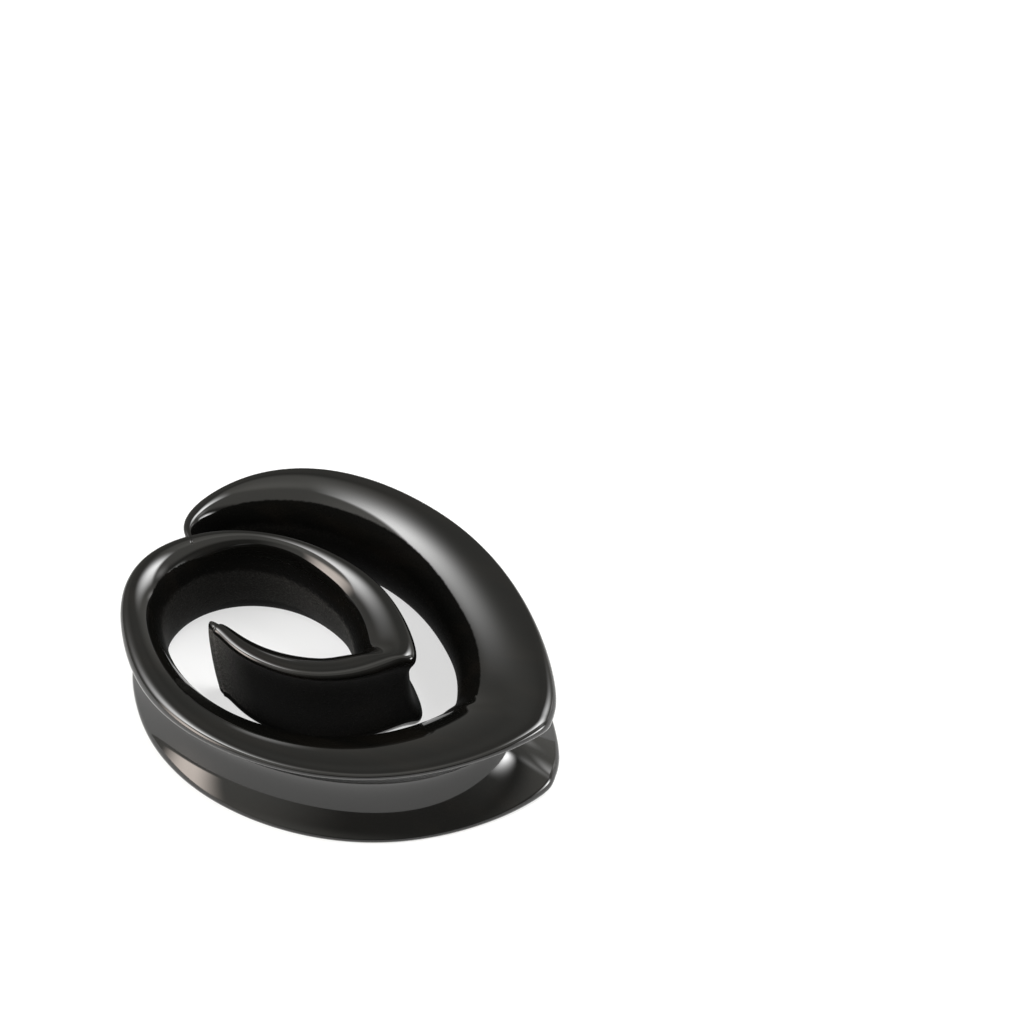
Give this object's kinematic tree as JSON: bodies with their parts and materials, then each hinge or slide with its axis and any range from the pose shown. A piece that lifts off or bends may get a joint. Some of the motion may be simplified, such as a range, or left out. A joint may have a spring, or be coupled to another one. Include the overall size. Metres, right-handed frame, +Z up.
{
  "type": "spiral ear weight",
  "caption": "Spiral teardrop ear weight carved from dark horn, with a saddle groove round its outer turn that seats in a stretched earlobe.",
  "frame": {"origin": "middle of the footprint, on the plane that the weight rests on", "axes": "+X along the drop towards its outer point, +Z up through the thickness, the weight lying flat on its rims"},
  "size_m": [0.044, 0.0332, 0.0125],
  "materials": {
    "ear_weight": "polished dark horn, near black with faint warm brown; slot and eye walls left matt and finely pitted"
  },
  "bodies": {
    "root": {"ear_weight": "ear_weight"}
  },
  "joints": []
}
